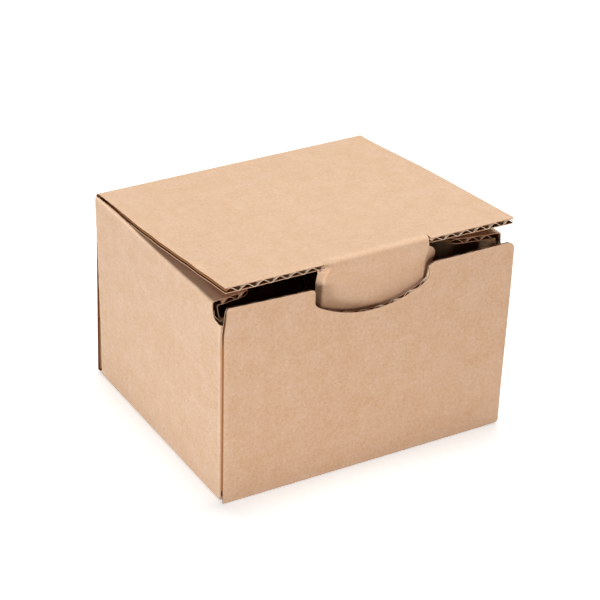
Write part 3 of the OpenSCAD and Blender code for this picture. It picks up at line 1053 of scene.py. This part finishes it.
class MAILER_OT_body_board(bpy.types.Operator):
    """Fold the floor, the four walls, the corner ears and the dust flaps"""

    bl_idname = "mailer.body_board"
    bl_label = "Body board"

    def execute(self, context):
        m = measures(context.scene)
        board = Board()
        weld_x = m.ix - m.lap
        near_ear = [m.ear_y + d for d in crease_lines(13)]
        near_ear += [m.ear_y + d for d in (-4, -2, 1.8, 3, 5, 9, 13, 17, 21)]
        floor_rows = [r for r in around(m.spine, (0,)) + near_ear if 0 < r < m.ear_y - NEAR]
        floor_rows += list(np.arange(5, 41, 5.0))
        rows = set(floor_rows) | set(around(m.spine, (0,)))
        rows |= {wall_height(m, z) for z in np.arange(9, m.h - 2, 4.5)}
        rows |= {wall_height(m, m.h - d) for d in (2, 4.5, 6.5, 9, 12)}
        rows = {-r for r in rows} | rows | {0.0, m.ear_y, -m.ear_y}

        def joined(p):
            on_weld = np.abs(np.abs(p[:, 0]) - weld_x) < NEAR
            return on_weld & (np.abs(p[:, 1]) < m.ear_y + NEAR)

        across = steps(-m.w / 2, m.w / 2, 1.25)
        sheet = cut_sheet(
            spine_outline(m), across, rows, joined, lambda p: p[:, 1] > m.back_end - NEAR)
        creases = [(1, -m.spine.ends[0]), (1, m.spine.ends[0])]
        board.facings(m, sheet, partial(fold_spine, m), m.spine, creases)
        for side in (-1, 1):
            c = m.side
            ups = around(c, (0, 1), steps(8, c.ends[1] - 6, 1.25))
            ups += steps(c.past(1, 5.5), c.past(1, m.flap[side]), 1.25)
            ys = {k * y for k in (-1, 1) for y in floor_rows + near_ear} | {0.0}
            sheet = cut_sheet(side_outline(m, side), ys, set(ups), lambda p: p[:, 1] < NEAR)
            creases = [(1, c.ends[0]), (1, c.ends[1]), (0, m.ear_y), (0, -m.ear_y)]
            # the dust flaps and the sides of the notches get painted shade
            board.facings(
                m, sheet, partial(fold_side, m, side), c, creases, crest=m.lap - m.ix,
                lay=lambda a, s, k=side: (k * (s + weld_x), a), tone=partial(flap_painted_shade, m),
            )
        piece = board.piece("Body_board", board_papers(context.scene, "Kraft_body"))
        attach(piece, "box")
        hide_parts("box_body")
        return {"FINISHED"}


class MAILER_OT_lid_board(bpy.types.Operator):
    """Fold the lid with its tongue"""

    bl_idname = "mailer.lid_board"
    bl_label = "Lid board"

    def execute(self, context):
        m = measures(context.scene)
        board = Board()
        c = m.spine

        def joined(p):
            beside = (p[:, 0] > m.x0 - NEAR) & (p[:, 0] < m.x1 + NEAR)
            return (np.abs(p[:, 1] - m.slot_end) < NEAR) & beside

        across = set(steps(-m.lid_w / 2, m.lid_w / 2, 1.05)) | {m.x0, m.x1}
        across |= {m.shift + k * (m.strip_at[k] + d) for k in (-1, 1)
                   for d in crease_lines(CREASE_LINES)}
        rows = steps(m.lid_start, m.lid_end - 4, 3.0)
        rows += [m.lid_end - d for d in (3, 2.2, 1.5, 0.9, 0.4)]
        sheet = cut_sheet(
            lid_outline(m), across, rows, joined, lambda p: p[:, 1] < m.lid_start + NEAR)
        board.facings(m, sheet, partial(fold_lid, m), c, [(1, c.ends[1])])
        rows = around(c, (2,), steps(c.past(2, 6), c.past(2, 25), 1.2))
        rows = [r for r in rows if r > m.slot_end]
        sheet = cut_sheet(tongue_outline(m), across, rows, joined)
        creases = [(1, c.ends[2]), (0, m.x0), (0, m.x1)]
        board.facings(m, sheet, partial(fold_tongue, m), c, creases)
        piece = board.piece("Lid_board", board_papers(context.scene, "Kraft_lid"))
        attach(piece, "lid")
        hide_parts("lid")
        return {"FINISHED"}


class MAILER_OT_hinge_crease(bpy.types.Operator):
    """Fold the crease that joins the back wall and the lid"""

    bl_idname = "mailer.hinge_crease"
    bl_label = "Hinge crease"

    def execute(self, context):
        m = measures(context.scene)
        c = m.spine
        low, high, crease = m.back_end, m.lid_start, c.ends[1]
        wall, half = m.w / 2, m.lid_w / 2
        right = [(wall, low), (wall, crease - 0.6), (half, crease + 0.4), (half, high)]
        outline = [(-wall, low)] + right + [(-x, s) for x, s in right[:0:-1]]
        sheet = cut_sheet(
            outline, steps(-half, half, 1.05), around(c, (1,)), never,
            lambda p: (p[:, 1] < low + NEAR) | (p[:, 1] > high - NEAR))
        board = Board()
        board.facings(m, sheet, partial(fold_spine, m), c, [(1, crease)])
        piece = board.piece("Hinge_crease", board_papers(context.scene, "Kraft_lid"))
        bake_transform(piece)
        return {"FINISHED"}


class MAILER_OT_waved_paper(bpy.types.Operator):
    """Make the waved paper between the facings of the walls, flaps and lid"""

    bl_idname = "mailer.waved_paper"
    bl_label = "Waved paper"

    SHORT = 0.15  # the waved paper ends this far inside the cut edge

    def execute(self, context):
        m = measures(context.scene)
        short = self.SHORT
        papers = kraft_papers(context.scene, "Waved_paper")
        make = partial(waved_ribbon, m, flute_tree(), papers[0])
        board = Board()
        half = m.w / 2 - short
        foot, back_end = wall_height(m, m.t + 2.5), m.back_end - 0.1

        def front_ends(x):
            z = float(np.interp(x, m.brim[:, 0], m.brim[:, 1]))
            return -foot, -wall_height(m, z - short)

        for ends in (front_ends, lambda x: (foot, back_end)):
            columns = wave_columns(m, -half, half, ends)
            add_waved(board, make(columns, steps(0, 1, 0.1)), partial(fold_spine, m))
        for side in (-1, 1):
            self.add_side(m, side, make, board)
        piece = board.piece("Body_waved_paper", papers, False)
        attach(piece, "box")

        board = Board()
        front = m.lid_end - short
        half = m.lid_w / 2 - 0.5

        def lid_ends(x):
            beside = x < m.x0 - 0.3 or x > m.x1 + 0.3
            return m.lid_start + 0.1, front if beside else m.slot_end - 0.2

        columns = wave_columns(m, -half, half, lid_ends)
        rows = steps(0, 1, 0.05) + [1 - d / m.lid_len for d in (0.8, 1.6, 2.6)]
        add_waved(board, make(columns, sorted(rows)), partial(fold_lid, m))
        tip, r = m.spine.past(2, m.tongue_len - m.t) - short, m.tip_r

        def tongue_ends(x):
            d = max(0.0, abs(x - m.shift) - (m.tongue_w / 2 - r))
            return m.spine.past(2, 1.4), tip - corner_drop(r, d)

        columns = wave_columns(m, m.x0 + 1.4, m.x1 - 1.4, tongue_ends)
        add_waved(board, make(columns, steps(0, 1, 0.1)), partial(fold_tongue, m))
        piece = board.piece("Lid_waved_paper", papers, False)
        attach(piece, "lid")
        return {"FINISHED"}

    def add_side(self, m, side, make, board):
        """Waved paper of a side wall with its ears, and of its dust flap."""
        c, short, crest = m.side, self.SHORT, m.lap - m.ix
        low_ear, high_ear = c.past(0, m.ear_low - m.t), c.past(0, m.ear_top - m.t)
        reach, r = m.ear_y + m.ear, c.ends[1] - high_ear
        fold = partial(fold_side, m, side)

        def wall_ends(s):
            front = back = m.ear_y + 0.9
            if low_ear < s < high_ear:
                front = back = reach
            elif s >= high_ear:
                front = 44.1 + r - math.sqrt(max(0, r * r - (c.ends[1] - s) ** 2))
            return short - front, back - short

        columns = wave_columns(m, c.past(0, 1.5), c.past(1, -1.4), wall_ends)
        bend = sorted(
            0.5 - 0.5 * (m.ear_y + d) / (reach - short) for d in (-2.4, -1, -0.4, 0, 0.4, 1))
        rows = [0.0, 0.02] + bend + [0.3, 0.5, 0.7]
        rows += [1 - b for b in reversed(bend)] + [0.98, 1.0]
        add_waved(board, make(columns, rows, crest), fold, True)
        flap, corner = c.past(1, m.flap[side]) - short, 4

        def flap_ends(s):
            reach = m.flap_end - short - corner_drop(corner, max(0.0, s - (flap - corner)))
            return -reach, reach

        columns = wave_columns(m, c.past(1, 1.5), flap, flap_ends)
        # the flap's waved paper gets painted shade, as the flap lies under the lid
        add_waved(board, make(columns, steps(0, 1, 0.05), crest), fold, True, 1.6)


class MAILER_OT_stage(bpy.types.Operator):
    """Set the floor, the studio lights and the camera"""

    bl_idname = "mailer.stage"
    bl_label = "Stage"

    def execute(self, context):
        scene = context.scene
        me = bpy.data.meshes.new("Floor")
        s = 6.0
        corners = [(-s, -s, 0), (s, -s, 0), (s, s, 0), (-s, s, 0)]
        me.from_pydata(corners, [], [(0, 1, 2, 3)])
        ground = place("Floor", me)
        material = bpy.data.materials.new("Pale floor")
        material.use_nodes = True
        tree = material.node_tree
        tree.nodes.clear()
        path = add_node(tree, "ShaderNodeLightPath", {})
        seen = node_math(tree, "MAXIMUM", path["Is Camera Ray"], path["Is Glossy Ray"])
        seen = node_math(tree, "MAXIMUM", seen, path["Is Transmission Ray"])
        matte = add_node(tree, "ShaderNodeBsdfDiffuse", {"Color": (0.72, 0.72, 0.72, 1)})
        glow = add_node(tree, "ShaderNodeEmission", {
            "Color": (1, 1, 1, 1), "Strength": node_math(tree, "MULTIPLY", seen, 0.55)})
        both = add_node(tree, "ShaderNodeAddShader", {0: matte[0], 1: glow[0]})
        add_node(tree, "ShaderNodeOutputMaterial", {"Surface": both[0]})
        me.materials.append(material)

        world = bpy.data.worlds.new("Studio")
        world.use_nodes = True
        sky = world.node_tree.nodes["Background"]
        fill(world.node_tree, sky, {"Color": (1, 1, 1, 1), "Strength": 0.09})
        scene.world = world

        def lamp(name, place_at, aim, size, power, colour=(1, 1, 1)):
            light = bpy.data.lights.new(name, "AREA")
            light.shape = "DISK"
            light.size = size
            light.energy = power
            light.color = colour
            holder = place(name, light)
            holder.location = place_at
            way = Vector(aim) - Vector(place_at)
            holder.rotation_euler = way.to_track_quat("-Z", "Y").to_euler()

        middle = (0, 0, 0.04)
        lamp("Top", (0.1, 0.15, 1.3), middle, 0.5, 15.6, (1, 0.98, 0.94))
        lamp("Left", (-1.15, -0.44, 0.17), middle, 0.24, 9.2)
        lamp("Front", (-0.1, -1.22, 0.2), middle, 0.36, 3.8, (1, 0.81, 0.66))

        # camera fitted to the box's edges in the photograph, which is 600 pixels wide
        azimuth, elevation, roll = map(math.radians, (-30.597, 28.563, 1.572))
        distance, aside, above, focal_pixels = 766.271, 2.2, 37.406, 1980.618
        back = Vector((math.sin(azimuth) * math.cos(elevation),
                       -math.cos(azimuth) * math.cos(elevation), math.sin(elevation)))
        right = Vector((math.cos(azimuth), math.sin(azimuth), 0))
        up = right.cross(-back)
        right_turned = right * math.cos(roll) + up * math.sin(roll)
        up_turned = -right * math.sin(roll) + up * math.cos(roll)
        lens = bpy.data.cameras.new("Camera")
        lens.sensor_width = 36
        lens.sensor_fit = "HORIZONTAL"
        lens.lens = focal_pixels / 600 * lens.sensor_width
        lens.clip_start, lens.clip_end = 0.01, 50
        camera = place("Camera", lens)
        turn = Matrix((right_turned, up_turned, back)).transposed()
        spot = (back * distance + right_turned * aside + up_turned * above) * 1e-3
        camera.matrix_world = Matrix.Translation(spot) @ turn.to_4x4()
        scene.camera = camera
        scene.view_settings.view_transform = "Standard"
        return {"FINISHED"}


class MAILER_PT_panel(bpy.types.Panel):
    """Sidebar panel of the mailer box"""

    bl_idname = "MAILER_PT_panel"
    bl_label = "Mailer box"
    bl_space_type = "VIEW_3D"
    bl_region_type = "UI"
    bl_category = "Mailer box"

    def draw(self, context):
        for name, group in SETTINGS.items():
            box = self.layout.box()
            box.label(text=group.__doc__)
            for key in group.__annotations__:
                box.prop(getattr(context.scene, name), key)
        for operator in OPERATORS:
            self.layout.operator(operator.bl_idname)


OPERATORS = (
    MAILER_OT_body_board,
    MAILER_OT_lid_board,
    MAILER_OT_hinge_crease,
    MAILER_OT_waved_paper,
    MAILER_OT_stage,
)
CLASSES = (*SETTINGS.values(), *OPERATORS, MAILER_PT_panel)


def register():
    for cls in CLASSES:
        bpy.utils.register_class(cls)
    for name, group in SETTINGS.items():
        setattr(bpy.types.Scene, name, PointerProperty(type=group))


def unregister():
    for name in SETTINGS:
        delattr(bpy.types.Scene, name)
    for cls in reversed(CLASSES):
        bpy.utils.unregister_class(cls)


def main():
    register()
    bpy.ops.mailer.body_board()
    bpy.ops.mailer.lid_board()
    bpy.ops.mailer.hinge_crease()
    bpy.ops.mailer.waved_paper()
    bpy.ops.mailer.stage()


if __name__ == "__main__":
    main()
